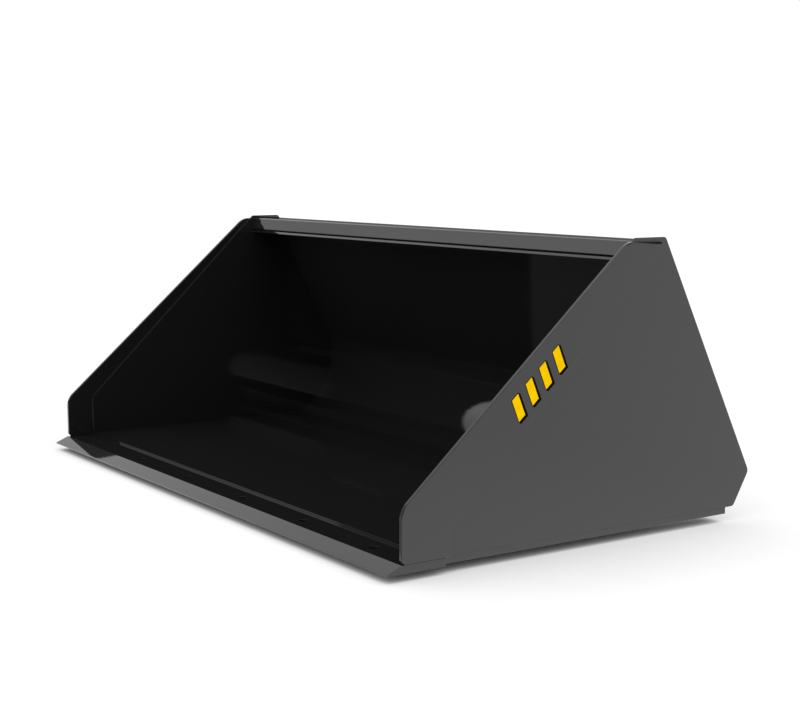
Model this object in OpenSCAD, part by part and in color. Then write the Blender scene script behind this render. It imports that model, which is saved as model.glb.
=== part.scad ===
// Skid steer bucket: a welded steel shell with a bevelled cutting edge and a rear coupler frame.
// X runs across the bucket, -Y is the mouth, +Y is the machine side, Z is up from the ground.
// The origin is on the ground, half way across the bucket and half way from lip to coupler.

/* [Overall] */
// Width over the side cutters
overall_w = 1848; // [1500:1:2200]
// Depth from the lip of the cutting edge to the back of the coupler lip
overall_d = 1090; // [1060:1:1200]

/* [Cutting edge] */
// Front-to-back width of the cutting edge bar
edge_d = 152.4; // [130:0.1:200]
// Thickness of the cutting edge bar
edge_t = 19.05; // [16:0.05:26]
// Length of the bevel, which is also where the side cutters start
bevel_l = 38; // [25:1:60]
// Blunt height left at the tip of the bevel
tip_t = 3; // [1:0.5:6]
// Number of bolt holes for an add-on edge
hole_count = 6; // [2:2:8]
// Distance between neighbouring bolt holes
hole_pitch = 304.8; // [200:0.1:304.8]
// Radius of each bolt hole
hole_r = 11.1; // [8:0.1:14]
// Distance of the bolt holes behind the tip
hole_y = 73; // [60:1:90]

/* [Sheets] */
// Thickness of the floor, heel, back and side sheets
sheet_t = 4.76; // [4:0.01:8]
// Where the front edge of the floor sheet lies on the cutting edge
floor_front_y = 122; // [100:1:130]
// Where the floor sheet ends and the rolled heel begins
floor_end_y = 862; // [840:1:880]
// Inner radius of the rolled heel
heel_r = 220; // [210:1:240]
// Height of the joint between the heel and the back sheet
heel_top_z = 266.5; // [250:0.5:285]
// How far the side sheets stand out behind the foot of the back sheet
back_foot_inset = 13.5; // [8:0.5:16]
// How far the side sheets stand out behind the head of the back sheet
back_head_inset = 2.5; // [0:0.5:4]

/* [Side outline] */
// Height of the lower front corner, where the slope starts
slope_low_z = 136.5; // [120:0.5:170]
// Distance of the upper front corner behind the tip
slope_top_y = 657.5; // [630:0.5:665]
// Height of the side cutters and of the top rail
cutter_top_z = 680; // [660:1:685]
// Height of the side sheets' rear tabs
side_top_z = 688.5; // [687:0.5:700]
// Distance of the tab's rear corner behind the tip
tab_rear_y = 785; // [780:1:800]
// Rearmost corner of the side sheets, behind the tip
heel_corner_y = 1082; // [1075:1:1085]
// Height of that corner
heel_corner_z = 103; // [90:1:120]
// Where the side sheets' bottom edge ends
side_bottom_y = 1032; // [1020:1:1040]
// Thickness of the side cutters
cutter_t = 9.525; // [6:0.005:12]
// Width of the side cutters along their upright stretch
cutter_w = 127; // [110:1:140]
// Where the top edge of the side cutters ends, behind the tip
cutter_tail_y = 778; // [760:1:780]
// Distance of the side sheets' upright front edge behind the tip
side_front_y = 117.5; // [110:0.5:140]
// Height where that edge turns from upright to sloping
side_knee_z = 137; // [120:1:150]
// Where the sloping front edge of the side sheets ends, behind the tip
side_slope_y = 680; // [672:1:684]

/* [Top rail] */
// Distance of the bend between the rail's top and its sloping face behind the tip
rail_front_y = 703; // [690:1:720]
// Lean of the sloping face, whose lower edge lies furthest forward, in degrees
rail_lean = 21.5; // [0:0.5:30]
// Height of the sloping face
rail_h = 34; // [30:1:50]
// Thickness of the rail and of the plate that closes it
rail_t = 6.35; // [4:0.05:8]
// Depth of the groove between the sloping face and the plate that closes the rail underneath
rail_groove = 5.5; // [3:0.5:6]

/* [Wear bars] */
// Width of each wear bar under the floor
wear_w = 76.2; // [50:0.1:100]
// Thickness of each wear bar
wear_t = 15.9; // [8:0.1:19]
// Where the outer wear bars end
wear_end_y = 1005; // [980:1:1010]
// Distance of the inner wear bars from the middle of the bucket
inner_wear_x = 300; // [200:1:450]

/* [Coupler frame] */
// Width of the coupler frame
coupler_w = 1150; // [1100:1:1200]
// Thickness of the coupler's plates
coupler_t = 9.5; // [8:0.5:12]
// Bearing face of the coupler, measured forward from the back of its lip
lip_reach = 50; // [45:1:60]
// Height of the underside of the lower lip
lip_z = 75; // [60:1:90]
// Thickness of the lower lip
lip_t = 12.7; // [10:0.1:16]
// Height of the pocket's apex under the hook
hook_apex_z = 520; // [500:1:535]
// Reach of the hook behind the bearing face
hook_reach = 42; // [36:1:45]
// Height of the joints between the uprights and the hook or the lip
upright_low_z = 140; // [120:1:160]
// Height where each upright meets the hook
upright_top_z = 470; // [450:1:480]
// Width of each upright plate
upright_w = 199.5; // [180:0.5:240]
// Distance between the two locking pin slots
slot_spacing = 1029; // [1000:1:1040]
// Half the width of a locking pin slot
slot_r = 16; // [12:1:18]
// Length of a locking pin slot from end to end
slot_l = 46; // [40:1:60]
// Side of the square cross tube
tube_w = 80; // [60:1:90]
// Wall of the cross tube
tube_t = 6; // [4:0.5:8]
// Height of the cross tube's lower edge on the back sheet
tube_z = 400; // [360:1:420]
// Where the ribs' top edge meets the back sheet
rib_top_z = 590; // [560:1:610]

/* [Side mark] */
// Height on the sloping edge that the middle of the mark lies square to
mark_z = 422; // [400:1:440]
// Distance of the mark's middle from the sloping edge
mark_inset = 60; // [55:1:70]
// Number of slanted stripes
mark_stripes = 4; // [3:1:5]
// Distance between neighbouring stripes
mark_pitch = 50; // [46:1:54]
// Length of each stripe across the mark
mark_h = 50; // [40:1:60]
// Width of each stripe
mark_w = 22; // [16:1:26]
// Border around each stripe
mark_border = 1.5; // [1:0.5:3]
// How far the border is drawn out towards the plate's rear edge
mark_drop = 6; // [3:0.5:8]

/* [Hidden] */
$fn = 96;

paint = [0.03, 0.03, 0.032];
half_w = overall_w / 2;
sheet_out_x = half_w - cutter_t;
sheet_in_x = sheet_out_x - sheet_t;
floor_z = edge_t + sheet_t;

// The side sheets' rear edge leans forward, and the back sheet lies just inside it.
side_lean = atan2(heel_corner_y - tab_rear_y, side_top_z - heel_corner_z);
function rear_edge_y(z) = heel_corner_y - (z - heel_corner_z) * tan(side_lean);
back_foot_y = rear_edge_y(heel_top_z) - back_foot_inset;
back_head_y = rear_edge_y(cutter_top_z) - back_head_inset;
lean = atan2(back_foot_y - back_head_y, cutter_top_z - heel_top_z);
up_back = [-sin(lean), cos(lean)];
out_back = [cos(lean), sin(lean)];
function back_out_y(z) = back_foot_y - (z - heel_top_z) * tan(lean);
function back_in_y(z) = back_out_y(z) - sheet_t / cos(lean);

// The heel is an arc from the floor's end to the foot of the back sheet.
heel_low = [floor_end_y, floor_z];
heel_high = [back_in_y(heel_top_z), heel_top_z];
heel_chord = heel_high - heel_low;
heel_sagitta = sqrt(heel_r * heel_r - heel_chord * heel_chord / 4);
heel_mid = (heel_low + heel_high) / 2;
heel_c = heel_mid + heel_sagitta / norm(heel_chord) * [-heel_chord[1], heel_chord[0]];

rail_bend_r = 8;
rail_nose_r = 0.8;
rail_inner_r = 2;

side_knee_r = 20;
tab_front_r = 6;
tab_rear_r = 10;
tab_rise = 10;
heel_corner_r = 16;
side_bottom_r = 14;

cutter_rear_y = bevel_l + cutter_w;
cutter_knee_z = 75;
cutter_corner_r = 50;
cutter_tail_r = 8;
cutter_knee_r = 20;
cutter_chamfer = 8;

wear_setback = 12;

face_y = overall_d - lip_reach;
plate_y = face_y - coupler_t;
rib_out_x = coupler_w / 2;
rib_in_x = rib_out_x - upright_w;
rib_head = 12;
rib_foot_z = lip_z + 6;
bend_r = 2;
lip_heel_r = 6;
mark_t = 0.4;

// A corner of an outline, rounded to radius r with n steps of arc.
function corner(a, b, c, r, n) =
  let (
    u = (a - b) / norm(a - b),
    v = (c - b) / norm(c - b),
    half = acos(u * v) / 2,
    mid = (u + v) / norm(u + v),
    o = b + mid * r / sin(half),
    p = b + u * r / tan(half),
    q = b + v * r / tan(half),
    a0 = atan2(p[1] - o[1], p[0] - o[0]),
    a1 = atan2(q[1] - o[1], q[0] - o[0]),
    turn = a1 - a0 > 180 ? a1 - a0 - 360 : (a1 - a0 < -180 ? a1 - a0 + 360 : a1 - a0)
  )
  [for (i = [0:n]) o + r * [cos(a0 + turn * i / n), sin(a0 + turn * i / n)]];

// An outline given as [y, z, radius] corners; a radius of 0 keeps the corner sharp.
function rounded(k) = [
  for (i = [0:len(k) - 1])
    let (
      a = k[(i + len(k) - 1) % len(k)],
      b = k[i],
      c = k[(i + 1) % len(k)]
    )
    each (b[2] > 0 ? corner([a[0], a[1]], [b[0], b[1]], [c[0], c[1]], b[2], 8) : [[b[0], b[1]]])
];

// Extrudes a [y, z] outline across the bucket, with y measured from the tip.
module across(x0, x1) {
  translate([x0, -overall_d / 2, 0])
    rotate([90, 0, 90])
      linear_extrude(x1 - x0)
        children();
}

// A block given by its low and high corners, with y measured from the tip.
module block(low, high) {
  translate([low[0], low[1] - overall_d / 2, low[2]])
    cube(high - low);
}

module left() {
  mirror([1, 0, 0])
    children();
}

module cutting_edge() {
  color(paint)
    difference() {
      across(-half_w, half_w)
        polygon([[0, 0], [edge_d, 0], [edge_d, edge_t], [bevel_l, edge_t], [0, tip_t]]);
      for (i = [0:hole_count - 1])
        translate([(i - (hole_count - 1) / 2) * hole_pitch, hole_y - overall_d / 2, -1])
          cylinder(h = edge_t + 2, r = hole_r);
    }
}

module floor_sheet() {
  color(paint)
    block([-sheet_in_x, floor_front_y, edge_t], [sheet_in_x, floor_end_y, floor_z]);
}

module heel_sheet() {
  color(paint)
    intersection() {
      difference() {
        across(-sheet_in_x, sheet_in_x)
          translate(heel_c)
            circle(r = heel_r + sheet_t);
        across(-half_w, half_w)
          translate(heel_c)
            circle(r = heel_r);
      }
      across(-half_w, half_w)
        polygon([
          heel_c, heel_c + 1.5 * (heel_low - heel_c),
          heel_c + [1.5 * heel_r, -heel_r], heel_c + 1.5 * (heel_high - heel_c)
        ]);
    }
}

module back_sheet() {
  color(paint)
    across(-sheet_in_x, sheet_in_x)
      polygon([
        heel_high, heel_high + sheet_t * out_back,
        [back_out_y(cutter_top_z), cutter_top_z], [back_in_y(cutter_top_z), cutter_top_z]
      ]);
}

module top_rail() {
  low_z = cutter_top_z - rail_h;
  low_y = rail_front_y - rail_h * tan(rail_lean);
  toe_z = low_z - rail_groove;
  inner_y = rail_t / cos(rail_lean);
  top_in_z = cutter_top_z - rail_t;
  color(paint)
    across(-sheet_in_x, sheet_in_x)
      polygon(rounded([
        [rail_front_y, cutter_top_z, rail_bend_r],
        [low_y, low_z, rail_nose_r],
        [low_y - rail_groove * tan(rail_lean) + inner_y, toe_z, 0],
        [rail_front_y + inner_y - rail_t * tan(rail_lean), top_in_z, rail_inner_r],
        [back_in_y(top_in_z), top_in_z, 0],
        [back_in_y(cutter_top_z), cutter_top_z, 0]
      ]));
}

// The plate that closes the rail underneath, whose front edge is in line with the sloping face.
module rail_plate() {
  top_z = cutter_top_z - rail_h - rail_groove;
  low_z = top_z - rail_t;
  front_y = rail_front_y - rail_h * tan(rail_lean);
  color(paint)
    across(-sheet_in_x, sheet_in_x)
      polygon([[front_y, top_z], [back_in_y(top_z), top_z], [back_in_y(low_z), low_z], [front_y, low_z]]);
}

module side_sheet() {
  color(paint)
    across(sheet_in_x, sheet_out_x)
      polygon(rounded([
        [side_front_y, edge_t, 0],
        [side_front_y, side_knee_z, side_knee_r],
        [side_slope_y, cutter_top_z, 0],
        [side_slope_y + tab_rise, side_top_z, tab_front_r],
        [tab_rear_y, side_top_z, tab_rear_r],
        [heel_corner_y, heel_corner_z, heel_corner_r],
        [side_bottom_y, edge_t, side_bottom_r]
      ]));
}

module side_cutter() {
  color(paint)
    across(sheet_out_x, half_w)
      polygon(rounded([
        [bevel_l + cutter_chamfer, edge_t, 0],
        [bevel_l, edge_t + cutter_chamfer, 0],
        [bevel_l, slope_low_z, cutter_corner_r],
        [slope_top_y, cutter_top_z, cutter_corner_r],
        [cutter_tail_y, cutter_top_z, cutter_tail_r],
        [cutter_rear_y, cutter_knee_z, cutter_knee_r],
        [cutter_rear_y, edge_t, 0]
      ]));
}

module outer_wear_bar() {
  color(paint)
    block([sheet_out_x - wear_w, edge_d, edge_t - wear_t], [sheet_out_x, wear_end_y, edge_t]);
}

// An inner wear bar ends a little before the joint between the floor and the heel.
module inner_wear_bar() {
  low_x = inner_wear_x - wear_w / 2;
  color(paint)
    block([low_x, edge_d, edge_t - wear_t], [low_x + wear_w, floor_end_y - wear_setback, edge_t]);
}

module coupler_hook() {
  tip = [face_y + hook_reach, hook_apex_z - hook_reach];
  thick = coupler_t * [sin(45), sin(45)];
  color(paint)
    across(-rib_out_x, rib_out_x)
      polygon(rounded([
        [plate_y, upright_top_z, 0],
        [face_y, upright_top_z, 0],
        [face_y, hook_apex_z, bend_r],
        [tip[0], tip[1], 0],
        [tip[0] + thick[0], tip[1] + thick[1], 0],
        [plate_y, hook_apex_z + coupler_t * (1 + sqrt(2)), bend_r + coupler_t]
      ]));
}

module coupler_lip() {
  color(paint)
    difference() {
      across(-rib_out_x, rib_out_x)
        polygon(rounded([
          [plate_y, lip_z, lip_heel_r],
          [overall_d, lip_z, 0],
          [overall_d, lip_z + lip_t, 0],
          [face_y, lip_z + lip_t, bend_r],
          [face_y, upright_low_z, 0],
          [plate_y, upright_low_z, 0]
        ]));
      for (side = [-1, 1])
        translate([side * slot_spacing / 2, face_y + lip_reach / 2 - overall_d / 2, lip_z - 1])
          lock_slot(lip_t + 2);
    }
}

// One locking pin slot, which runs across the bucket.
module lock_slot(h) {
  for (end = [-1, 1])
    translate([end * (slot_l / 2 - slot_r), 0, 0])
      cylinder(h = h, r = slot_r);
  translate([slot_r - slot_l / 2, -slot_r, 0])
    cube([slot_l - 2 * slot_r, 2 * slot_r, h]);
}

module coupler_upright() {
  color(paint)
    block([rib_in_x, plate_y, upright_low_z], [rib_out_x, face_y, upright_top_z]);
}

// A rib between the shell and the coupler, whose outer face is at x.
module rib(x) {
  color(paint)
    difference() {
      across(x - coupler_t, x)
        polygon([
          [plate_y, rib_foot_z],
          [plate_y, hook_apex_z - coupler_t],
          [back_out_y(rib_top_z) + rib_head, rib_top_z],
          [back_out_y(rib_top_z), rib_top_z],
          heel_high + sheet_t * out_back,
          heel_c,
          [heel_c[0] + heel_r / 2, rib_foot_z]
        ]);
      across(x - 2 * coupler_t, x + coupler_t)
        translate(heel_c)
          circle(r = heel_r + sheet_t);
    }
}

// The outline of a square of side w that stands on the slope of the back sheet, with its low corner at foot.
function leaning_square(foot, w) =
  [foot, foot + w * out_back, foot + w * (out_back + up_back), foot + w * up_back];

module cross_tube() {
  foot = [back_out_y(tube_z), tube_z];
  color(paint)
    difference() {
      across(-rib_in_x, rib_in_x)
        polygon(leaning_square(foot, tube_w));
      across(-half_w, half_w)
        polygon(leaning_square(foot + tube_t * (up_back + out_back), tube_w - 2 * tube_t));
    }
}

// The corners of one slanted stripe, grown by grow on every side, from low left round to high left.
function stripe(grow) =
  let (
    x = mark_w / 2 + grow,
    y = mark_h / 2 + grow,
    slant = mark_h / 6
  )
  [[-x - slant, -y], [x - slant, -y], [x + slant, y], [-x + slant, y]];

// Repeats its children as a row of stripes along the sloping edge.
module stripe_row() {
  slope = atan2(cutter_top_z - slope_low_z, slope_top_y - bevel_l);
  edge_y = bevel_l + (mark_z - slope_low_z) / tan(slope);
  translate([edge_y + mark_inset * sin(slope), mark_z - mark_inset * cos(slope)])
    rotate(slope)
      for (i = [0:mark_stripes - 1])
        translate([(i - (mark_stripes - 1) / 2) * mark_pitch, 0])
          children();
}

module mark_border() {
  edge = stripe(mark_border);
  drop = mark_drop * [0.5, -1];
  color("black")
    across(half_w, half_w + mark_t)
      stripe_row()
        difference() {
          polygon([edge[0], edge[0] + drop, edge[1] + drop, edge[2] + drop, edge[2], edge[3]]);
          polygon(stripe(0));
        }
}

module mark_stripes() {
  color("gold")
    across(half_w, half_w + mark_t)
      stripe_row()
        polygon(stripe(0));
}

cutting_edge();
floor_sheet();
heel_sheet();
back_sheet();
top_rail();
rail_plate();
left() side_sheet();  // side_sheet_left
side_sheet();  // side_sheet_right
left() side_cutter();  // side_cutter_left
side_cutter();  // side_cutter_right
left() outer_wear_bar();  // outer_wear_bar_left
outer_wear_bar();  // outer_wear_bar_right
left() inner_wear_bar();  // inner_wear_bar_left
inner_wear_bar();  // inner_wear_bar_right
coupler_hook();
coupler_lip();
left() coupler_upright();  // coupler_upright_left
coupler_upright();  // coupler_upright_right
left() rib(rib_out_x);  // outer_rib_left
rib(rib_out_x);  // outer_rib_right
left() rib(rib_in_x + coupler_t);  // inner_rib_left
rib(rib_in_x + coupler_t);  // inner_rib_right
cross_tube();
left() mark_border();  // mark_border_left
mark_border();  // mark_border_right
left() mark_stripes();  // mark_stripes_left
mark_stripes();  // mark_stripes_right
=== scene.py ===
"""Looks of a skid steer bucket: gloss black paint on welded steel plate, in a white studio."""
import math

import bmesh
import bpy
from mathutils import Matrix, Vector
from mathutils.bvhtree import BVHTree


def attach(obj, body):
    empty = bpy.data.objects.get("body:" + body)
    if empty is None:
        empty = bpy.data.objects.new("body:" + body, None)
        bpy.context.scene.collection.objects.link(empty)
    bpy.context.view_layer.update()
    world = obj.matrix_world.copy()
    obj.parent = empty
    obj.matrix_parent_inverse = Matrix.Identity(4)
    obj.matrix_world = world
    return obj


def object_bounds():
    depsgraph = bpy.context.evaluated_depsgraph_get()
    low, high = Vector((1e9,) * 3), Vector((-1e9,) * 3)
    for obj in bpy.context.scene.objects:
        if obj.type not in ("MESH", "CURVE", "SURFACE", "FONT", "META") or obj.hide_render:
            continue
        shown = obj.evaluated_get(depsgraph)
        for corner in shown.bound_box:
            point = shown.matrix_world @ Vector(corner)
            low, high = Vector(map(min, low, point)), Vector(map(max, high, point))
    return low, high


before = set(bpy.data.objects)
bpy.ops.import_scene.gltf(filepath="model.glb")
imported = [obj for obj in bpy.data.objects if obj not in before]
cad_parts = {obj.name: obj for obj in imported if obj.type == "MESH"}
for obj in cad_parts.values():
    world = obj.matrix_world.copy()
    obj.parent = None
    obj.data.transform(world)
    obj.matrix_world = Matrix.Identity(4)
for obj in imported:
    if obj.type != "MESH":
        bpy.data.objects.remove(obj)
cad_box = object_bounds()

# Camera: where it looks, from how far, and along which direction (degrees).
VIEW_TARGET = Vector((0.0, 0.1121, 0.3014))
VIEW_DISTANCE = 4.2572
VIEW_AZIMUTH = 55.995
VIEW_ELEVATION = 7.51
LENS_MM = 68.345

# Paint: gloss black, with fine orange peel and slow clouds in its gloss.
PAINT_COLOUR = (0.006, 0.006, 0.0063, 1)
PAINT_IOR = 1.43
GLOSSIEST = 0.02125
DULLEST = 0.03
PEEL_PER_METRE = 320
PEEL_STRENGTH = 0.025
PEEL_DEPTH = 0.001
CLOUDS_PER_METRE = 9

# Printed film: two shades of ink for the stripes and two for their border, on a fine grain.
STRIPE_INKS = ((0.64, 0.395, 0.001, 1), (0.56, 0.34, 0.001, 1))
BORDER_INKS = ((0.003, 0.003, 0.0035, 1), (0.002, 0.002, 0.002, 1))
INK_PER_METRE = 60
INK_ROUGHNESS = (0.4, 0.5)
GRAIN_PER_METRE = 2500
GRAIN_STRENGTH = 0.08
GRAIN_DEPTH = 0.0002

# The part of a noise's range that its colours and gloss are spread over.
NOISE_LOW = 0.3
NOISE_HIGH = 0.7

# Plate edges, which are slightly rounded by grinding and paint.
EDGE_RADIUS = 0.0012
FINE_EDGE_RADIUS = 0.0003
FINE_EDGED = (
    "cutting_edge", "floor_sheet", "heel_sheet", "back_sheet",
    "side_sheet_left", "side_sheet_right", "top_rail", "rail_plate",
    "outer_wear_bar_left", "outer_wear_bar_right",
)
SHARP_ANGLE = math.radians(16)

# Weld beads: the fillet's leg, ripple length and facets, and how it tapers, swells and sinks in.
WELD_LEG = 0.006
WELD_STEP = 0.002
WELD_RIPPLE = 0.0062
WELD_FACETS = 5
END_SIZE = 0.45
FILLET_FLATTENING = 0.17
RIPPLE_HEIGHT = 0.045
RIPPLE_BOW = 0.4
ROOT_DEPTH = 0.0004

# Where beads fit: how close a touch is, how far behind the seam the plates must still touch, and the
# least cosines between a seam's open face and the wanted direction, and between neighbouring fillets.
TOUCH = 0.0006
SAME_POINT = 0.00001
BEHIND_CORNER = 0.004
FACING_COSINE = 0.3
RUN_COSINE = 0.8
REAR = Vector((0, 1, -0.2))
ANYWHERE = Vector((0, 0, 0))

# Floor as the camera sees it. It lies a little below the bucket, so that a dark contact line shows. Its
# openness, 1 in the open, is raised to one power everywhere and to another below COVERED_BELOW.
FLOOR_SIZE = 60
FLOOR_GAP = 0.018
FLOOR_WHITE = 1.07
SHADE_REACH = 0.5
OPEN_SHADE = 0.6
COVERED_SHADE = 0.5
COVERED_BELOW = 0.5

# Floor as the paint sees it. Spans are distances from the bucket's outline, over which the glow changes.
FLOOR_GLOW = 1.88
FRONT_GLOW = 0.24
GLOW_FADES_BY = 1
UNDER_DIMMING = 0.8
SIDE_SPAN = (0.03, 0.12)
LIP_SPAN = (0.01, 0.04)
REAR_SPAN = 0.1
CORNER_DIMMING = 0.7
CORNER_SPAN = 0.1

# Surround: an even sky with two soft lights, each a direction, the cosines between which it rises, and
# its gain. The sky darkens towards the horizon between two heights, given as sines.
BACKDROP = 1.02
SKY = 1.08
SKY_EDGE = 0.12
HORIZON = (0.1, 0.24)
OVERHEAD = ((0.2, -0.12, 1.0), 0.3, 0.95, 1.55)
FRONT_PANEL = ((-0.45, -0.85, 0.3), 0.77, 0.95, 1.0)

# Dim card ahead of the bucket, which only reflections show: its distance, outline (x, height) and glow.
CARD_Y = -1
CARD_OUTLINE = ((-0.4, 0), (1.3, 0), (1.4, 0.6), (2.2, 1.6), (6.2, 4.5), (-0.4, 4.5))
CARD_GLOW = 0.58


def view_direction():
    azimuth = math.radians(VIEW_AZIMUTH)
    elevation = math.radians(VIEW_ELEVATION)
    level = math.cos(elevation)
    return Vector((-math.sin(azimuth) * level, math.cos(azimuth) * level, -math.sin(elevation)))


def add_camera():
    data = bpy.data.cameras.new("camera")
    data.lens = LENS_MM
    data.sensor_width = 36
    data.sensor_fit = "HORIZONTAL"
    data.clip_end = 100
    camera = bpy.data.objects.new("camera", data)
    forward = view_direction()
    camera.location = VIEW_TARGET - forward * VIEW_DISTANCE
    camera.rotation_euler = forward.to_track_quat("-Z", "Y").to_euler()
    bpy.context.scene.collection.objects.link(camera)
    bpy.context.scene.camera = camera


# Materials

def new_material(name):
    material = bpy.data.materials.new(name)
    material.use_nodes = True
    nodes = material.node_tree.nodes
    return material, nodes, material.node_tree.links, nodes["Principled BSDF"]


def noise(nodes, links, scale, detail, coords):
    node = nodes.new("ShaderNodeTexNoise")
    node.inputs["Scale"].default_value = scale
    node.inputs["Detail"].default_value = detail
    links.new(coords, node.inputs["Vector"])
    return node.outputs["Fac"]


def remap(nodes, links, source, low, high):
    """The middle range of a noise, stretched to run from low to high."""
    node = nodes.new("ShaderNodeMapRange")
    node.inputs["From Min"].default_value = NOISE_LOW
    node.inputs["From Max"].default_value = NOISE_HIGH
    node.inputs["To Min"].default_value = low
    node.inputs["To Max"].default_value = high
    links.new(source, node.inputs["Value"])
    return node.outputs["Result"]


def bump(nodes, links, height, strength, distance):
    node = nodes.new("ShaderNodeBump")
    node.inputs["Strength"].default_value = strength
    node.inputs["Distance"].default_value = distance
    links.new(height, node.inputs["Height"])
    return node.outputs["Normal"]


def paint_material():
    """Gloss paint with orange peel, and slow changes in gloss."""
    material, nodes, links, shader = new_material("gloss_black_paint")
    coords = nodes.new("ShaderNodeTexCoord").outputs["Object"]
    shader.inputs["Base Color"].default_value = PAINT_COLOUR
    shader.inputs["IOR"].default_value = PAINT_IOR
    cloud = noise(nodes, links, CLOUDS_PER_METRE, 3, coords)
    links.new(remap(nodes, links, cloud, GLOSSIEST, DULLEST), shader.inputs["Roughness"])
    peel = noise(nodes, links, PEEL_PER_METRE, 2, coords)
    links.new(bump(nodes, links, peel, PEEL_STRENGTH, PEEL_DEPTH), shader.inputs["Normal"])
    return material


def film_material(name, light, dark):
    """Printed film: ink a little uneven between two shades, on a fine grain."""
    material, nodes, links, shader = new_material(name)
    coords = nodes.new("ShaderNodeTexCoord").outputs["Object"]
    shades = nodes.new("ShaderNodeMix")
    shades.data_type = "RGBA"
    shades.inputs["A"].default_value = dark
    shades.inputs["B"].default_value = light
    ink = noise(nodes, links, INK_PER_METRE, 4, coords)
    links.new(remap(nodes, links, ink, 0, 1), shades.inputs["Factor"])
    links.new(shades.outputs["Result"], shader.inputs["Base Color"])
    shader.inputs["Specular IOR Level"].default_value = 0
    links.new(remap(nodes, links, ink, *INK_ROUGHNESS), shader.inputs["Roughness"])
    grain = noise(nodes, links, GRAIN_PER_METRE, 2, coords)
    links.new(bump(nodes, links, grain, GRAIN_STRENGTH, GRAIN_DEPTH), shader.inputs["Normal"])
    return material


# Plates

def smooth_shading():
    """A node group that shades every face smooth."""
    tree = bpy.data.node_groups.new("smooth_shading", "GeometryNodeTree")
    for way in ("INPUT", "OUTPUT"):
        tree.interface.new_socket("Geometry", in_out=way, socket_type="NodeSocketGeometry")
    smooth = tree.nodes.new("GeometryNodeSetShadeSmooth")
    tree.links.new(tree.nodes.new("NodeGroupInput").outputs["Geometry"], smooth.inputs["Geometry"])
    tree.links.new(smooth.outputs["Geometry"], tree.nodes.new("NodeGroupOutput").inputs["Geometry"])
    return tree


def soften_edges(obj, radius, smoothing):
    """Rounds a plate's edges, and keeps its flat faces flat."""
    join = obj.modifiers.new("join_corners", "WELD")
    join.merge_threshold = SAME_POINT
    bevel = obj.modifiers.new("round_edges", "BEVEL")
    bevel.width = radius
    bevel.segments = 2
    bevel.limit_method = "ANGLE"
    bevel.angle_limit = SHARP_ANGLE
    bevel.use_clamp_overlap = False
    shading = obj.modifiers.new("smooth_shading", "NODES")
    shading.node_group = smoothing
    normals = obj.modifiers.new("flat_faces", "WEIGHTED_NORMAL")
    normals.weight = 100


def dress_nodes():
    """Gives every CAD node its finish; all but the printed marks are painted plate."""
    paint = paint_material()
    films = {
        "mark_stripes": film_material("mark_yellow", *STRIPE_INKS),
        "mark_border": film_material("mark_border", *BORDER_INKS),
    }
    smoothing = smooth_shading()
    for name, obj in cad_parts.items():
        material = films.get(name.rsplit("_", 1)[0], paint)
        obj.data.materials.clear()
        obj.data.materials.append(material)
        if material is paint:
            soften_edges(obj, FINE_EDGE_RADIUS if name in FINE_EDGED else EDGE_RADIUS, smoothing)
    return paint


# Weld beads

def touches(tree, point):
    return tree.find_nearest(point, TOUCH)[0] is not None


def plate_mesh(name):
    mesh = bmesh.new()
    mesh.from_mesh(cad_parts[name].data)
    bmesh.ops.remove_doubles(mesh, verts=mesh.verts, dist=SAME_POINT)
    mesh.normal_update()
    return mesh


def into_face(face, edge):
    """The direction in a face, square to one of its edges, that leads away from the edge."""
    along = (edge.verts[1].co - edge.verts[0].co).normalized()
    across = face.normal.cross(along)
    middle = (edge.verts[0].co + edge.verts[1].co) / 2
    return across if across.dot(face.calc_center_median() - middle) > 0 else -across


def seam_legs(edge, plate, host, facing):
    """The directions of a fillet's two legs on an edge of a plate, or None where no fillet fits."""
    if len(edge.link_faces) != 2 or edge.calc_face_angle(0) < SHARP_ANGLE:
        return None
    middle = (edge.verts[0].co + edge.verts[1].co) / 2
    if not all(touches(host, point) for point in (edge.verts[0].co, edge.verts[1].co, middle)):
        return None
    first, second = edge.link_faces
    for free, hidden in ((first, second), (second, first)):
        outside = all((v.co - middle).dot(free.normal) < TOUCH for v in plate.verts)
        faces_out = free.normal.dot(facing) >= FACING_COSINE * facing.length
        on_host = -into_face(hidden, edge)
        covered = touches(host, middle - on_host * BEHIND_CORNER)
        room = touches(host, middle + on_host * WELD_LEG)
        if outside and faces_out and covered and room:
            return into_face(free, edge), on_host
    return None


def follows(chain_end, edge, legs):
    """Whether an edge goes on from the end of a chain without a sharp turn of the fillet."""
    tip, chain_legs = chain_end
    return tip in edge.verts and all(a.dot(b) > RUN_COSINE for a, b in zip(chain_legs, legs))


def seams(plate, host, facing):
    """Runs of neighbouring seam edges, each a list of (point, leg, leg)."""
    legs = {edge: seam_legs(edge, plate, host, facing) for edge in plate.edges}
    waiting = [edge for edge in plate.edges if legs[edge]]
    runs = []
    while waiting:
        edge = waiting.pop(0)
        chain = [(edge.verts[0], legs[edge]), (edge.verts[1], legs[edge])]
        for _ in ("forwards", "backwards"):
            chain.reverse()
            following = edge
            while following:
                following = next((e for e in waiting if follows(chain[-1], e, legs[e])), None)
                if following:
                    waiting.remove(following)
                    chain.append((following.other_vert(chain[-1][0]), legs[following]))
        runs.append([(vert.co.copy(), pair[0], pair[1]) for vert, pair in chain])
    return runs


def stations(run):
    """A run cut into steps of about WELD_STEP: (distance, point, leg, leg) for each."""
    result = []
    travelled = 0.0
    for start, end in zip(run, run[1:]):
        length = (end[0] - start[0]).length
        count = max(1, round(length / WELD_STEP))
        for i in range(count):
            t = i / count
            blend = [a.lerp(b, t) for a, b in zip(start, end)]
            result.append((travelled + t * length, blend[0], blend[1].normalized(), blend[2].normalized()))
        travelled += length
    result.append((travelled, run[-1][0], run[-1][1], run[-1][2]))
    return result


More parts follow.
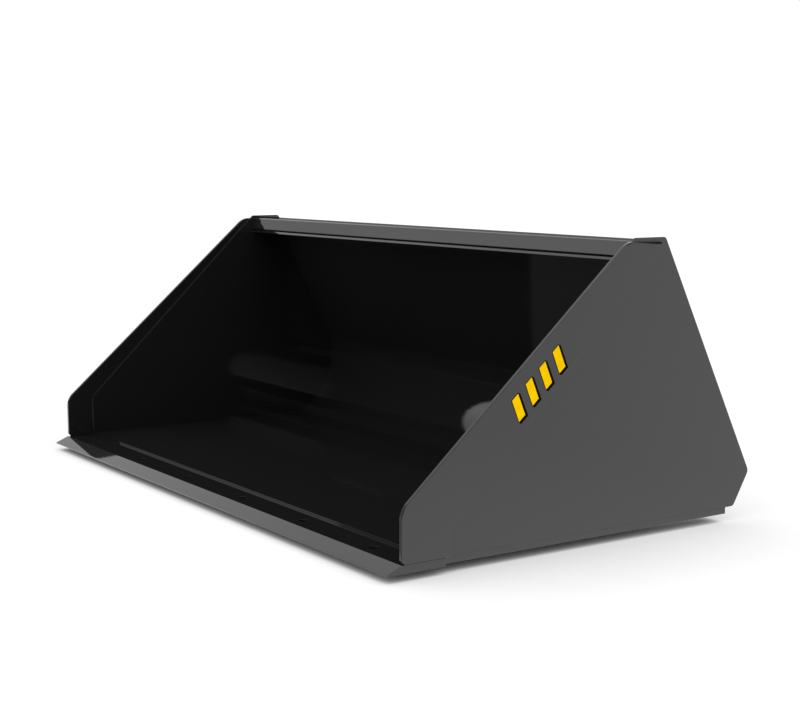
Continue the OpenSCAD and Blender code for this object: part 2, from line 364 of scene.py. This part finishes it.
def add_bead(mesh, run):
    """Sweeps a convex, rippled fillet along a run and closes its ends."""
    places = stations(run)
    total = places[-1][0]
    rings = []
    for distance, point, leg_a, leg_b in places:
        end_gap = min(distance, total - distance)
        size = WELD_LEG * (END_SIZE + (1 - END_SIZE) * min(1, end_gap / WELD_LEG) ** 0.5)
        ring = [mesh.verts.new(point - (leg_a + leg_b) * ROOT_DEPTH)]
        for i in range(WELD_FACETS + 1):
            turn = math.pi / 2 * i / WELD_FACETS
            middle = math.sin(2 * turn)
            ripple = math.cos(2 * math.pi * (distance / WELD_RIPPLE - RIPPLE_BOW * middle))
            reach = size * (1 - FILLET_FLATTENING * middle) * (1 + RIPPLE_HEIGHT * ripple * middle)
            ring.append(mesh.verts.new(point + (leg_a * math.cos(turn) + leg_b * math.sin(turn)) * reach))
        rings.append(ring)
    for near, far in zip(rings, rings[1:]):
        for i in range(len(near)):
            j = (i + 1) % len(near)
            mesh.faces.new((near[i], near[j], far[j], far[i])).smooth = i not in (0, len(near) - 1)
    mesh.faces.new(rings[0][::-1])
    mesh.faces.new(rings[-1])


def add_weld(name, host_name, facing, paint):
    """Welds one plate to another along every seam where a fillet fits."""
    plate = plate_mesh(name)
    host_mesh = plate_mesh(host_name)
    host = BVHTree.FromBMesh(host_mesh)
    beads = bmesh.new()
    for run in seams(plate, host, facing):
        add_bead(beads, run)
    if beads.faces:
        bmesh.ops.recalc_face_normals(beads, faces=beads.faces)
        data = bpy.data.meshes.new("weld_" + name + "_" + host_name)
        beads.to_mesh(data)
        data.materials.append(paint)
        obj = bpy.data.objects.new(data.name, data)
        bpy.context.scene.collection.objects.link(obj)
        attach(obj, "root")
    for mesh in (plate, host_mesh, beads):
        mesh.free()


def add_welds(paint):
    """The welds behind and under the bucket."""
    add_weld("cutting_edge", "floor_sheet", REAR, paint)
    for side in ("left", "right"):
        sheet = "side_sheet_" + side
        add_weld("heel_sheet", sheet, ANYWHERE, paint)
        add_weld("back_sheet", sheet, REAR, paint)
        add_weld("outer_wear_bar_" + side, "floor_sheet", ANYWHERE, paint)
        add_weld("inner_wear_bar_" + side, "floor_sheet", ANYWHERE, paint)
        for rib in ("outer_rib_" + side, "inner_rib_" + side):
            for host in ("heel_sheet", "back_sheet", "coupler_hook", "coupler_lip"):
                add_weld(rib, host, ANYWHERE, paint)
            add_weld(rib, "coupler_upright_" + side, ANYWHERE, paint)
        add_weld("cross_tube", "inner_rib_" + side, ANYWHERE, paint)
    add_weld("cross_tube", "back_sheet", ANYWHERE, paint)


# Studio

def calculate(nodes, links, operation, first, second):
    node = nodes.new("ShaderNodeMath")
    node.operation = operation
    for socket, value in zip(node.inputs, (first, second)):
        if isinstance(value, (int, float)):
            socket.default_value = value
        else:
            links.new(value, socket)
    return node.outputs["Value"]


def rise(nodes, links, source, start, end, low, high):
    """Rises smoothly from low to high while the source goes from start to end."""
    node = nodes.new("ShaderNodeMapRange")
    node.interpolation_type = "SMOOTHSTEP"
    node.inputs["From Min"].default_value = start
    node.inputs["From Max"].default_value = end
    node.inputs["To Min"].default_value = low
    node.inputs["To Max"].default_value = high
    links.new(source, node.inputs["Value"])
    return node.outputs["Result"]


def floor_glow(nodes, links):
    """The glow that the paint sees: dim under the bucket and off its front right corner."""
    place = nodes.new("ShaderNodeSeparateXYZ")
    links.new(nodes.new("ShaderNodeTexCoord").outputs["Object"], place.inputs["Vector"])
    across, along = place.outputs["X"], place.outputs["Y"]
    side = cad_box[1][0]
    front, back = cad_box[0][1], cad_box[1][1]
    sideways = calculate(nodes, links, "ABSOLUTE", across, 0)
    inside = rise(nodes, links, sideways, side - SIDE_SPAN[1], side - SIDE_SPAN[0], UNDER_DIMMING, 0)
    behind = rise(nodes, links, along, front + LIP_SPAN[0], front + LIP_SPAN[1], 0, 1)
    before = rise(nodes, links, along, back - REAR_SPAN, back, 1, 0)
    under = calculate(nodes, links, "MULTIPLY", inside, calculate(nodes, links, "MULTIPLY", behind, before))
    ahead = rise(nodes, links, along, front - CORNER_SPAN, front, CORNER_DIMMING, 0)
    right = rise(nodes, links, across, 0, side / 2, 0, 1)
    dim = calculate(nodes, links, "MAXIMUM", under, calculate(nodes, links, "MULTIPLY", ahead, right))
    even = rise(nodes, links, along, front, GLOW_FADES_BY, FLOOR_GLOW + FRONT_GLOW, FLOOR_GLOW)
    return calculate(nodes, links, "MULTIPLY", even, calculate(nodes, links, "SUBTRACT", 1, dim))


def floor_shade(nodes, links):
    """The shade that the camera sees: soft beside the bucket, and deeper where it covers the floor."""
    node = nodes.new("ShaderNodeAmbientOcclusion")
    node.inputs["Distance"].default_value = SHADE_REACH
    beside = calculate(nodes, links, "POWER", node.outputs["AO"], OPEN_SHADE)
    cover = calculate(nodes, links, "DIVIDE", node.outputs["AO"], COVERED_BELOW)
    beneath = calculate(nodes, links, "POWER", calculate(nodes, links, "MINIMUM", cover, 1), COVERED_SHADE)
    return calculate(nodes, links, "MULTIPLY", beside, beneath)


def add_floor():
    """A white floor: the camera sees its soft shade, and the gloss paint sees it as an even glow."""
    bpy.ops.mesh.primitive_plane_add(size=FLOOR_SIZE, location=(0, 0, -FLOOR_GAP))
    floor = bpy.context.object
    floor.name = "floor"
    material, nodes, links, shader = new_material("floor")
    material.cycles.emission_sampling = "NONE"
    level = nodes.new("ShaderNodeMix")
    links.new(nodes.new("ShaderNodeLightPath").outputs["Is Camera Ray"], level.inputs["Factor"])
    links.new(floor_glow(nodes, links), level.inputs["A"])
    links.new(calculate(nodes, links, "MULTIPLY", floor_shade(nodes, links), FLOOR_WHITE), level.inputs["B"])
    light = nodes.new("ShaderNodeEmission")
    links.new(level.outputs["Result"], light.inputs["Strength"])
    links.new(light.outputs["Emission"], nodes["Material Output"].inputs["Surface"])
    nodes.remove(shader)
    floor.data.materials.append(material)


def add_card():
    """A dim card ahead of the bucket, which keeps a bright reflection off the left of the rolled heel."""
    data = bpy.data.meshes.new("card")
    corners = [(x, CARD_Y, z - FLOOR_GAP) for x, z in CARD_OUTLINE]
    data.from_pydata(corners, (), [range(len(corners))])
    card = bpy.data.objects.new("card", data)
    bpy.context.scene.collection.objects.link(card)
    material, nodes, links, shader = new_material("card")
    material.cycles.emission_sampling = "NONE"
    shader.inputs["Base Color"].default_value = (0, 0, 0, 1)
    shader.inputs["Specular IOR Level"].default_value = 0
    shader.inputs["Emission Color"].default_value = (1, 1, 1, 1)
    shader.inputs["Emission Strength"].default_value = CARD_GLOW
    data.materials.append(material)
    card.visible_camera = False
    card.visible_diffuse = False
    card.visible_shadow = False


def towards(nodes, links, direction):
    """The cosine between the direction of a ray of sky and the given one."""
    node = nodes.new("ShaderNodeVectorMath")
    node.operation = "DOT_PRODUCT"
    node.inputs[1].default_value = Vector(direction).normalized()
    links.new(nodes.new("ShaderNodeTexCoord").outputs["Generated"], node.inputs[0])
    return node.outputs["Value"]


def add_world():
    """A soft overhead light and a front panel in an even sky that darkens towards the horizon."""
    world = bpy.data.worlds.new("studio")
    bpy.context.scene.world = world
    world.use_nodes = True
    nodes = world.node_tree.nodes
    links = world.node_tree.links
    light = SKY
    for direction, start, end, gain in (OVERHEAD, FRONT_PANEL):
        panel = rise(nodes, links, towards(nodes, links, direction), start, end, 0, gain)
        light = calculate(nodes, links, "ADD", panel, light)
    edge = rise(nodes, links, towards(nodes, links, (0, 0, 1)), *HORIZON, SKY_EDGE, 1)
    light = calculate(nodes, links, "MULTIPLY", light, edge)
    seen = nodes.new("ShaderNodeMix")
    links.new(nodes.new("ShaderNodeLightPath").outputs["Is Camera Ray"], seen.inputs["Factor"])
    links.new(light, seen.inputs["A"])
    seen.inputs["B"].default_value = BACKDROP
    links.new(seen.outputs["Result"], nodes["Background"].inputs["Strength"])
    nodes["Background"].inputs["Color"].default_value = (1, 1, 1, 1)


add_camera()
add_welds(dress_nodes())
add_floor()
add_card()
add_world()
bpy.context.scene.view_settings.view_transform = "Standard"
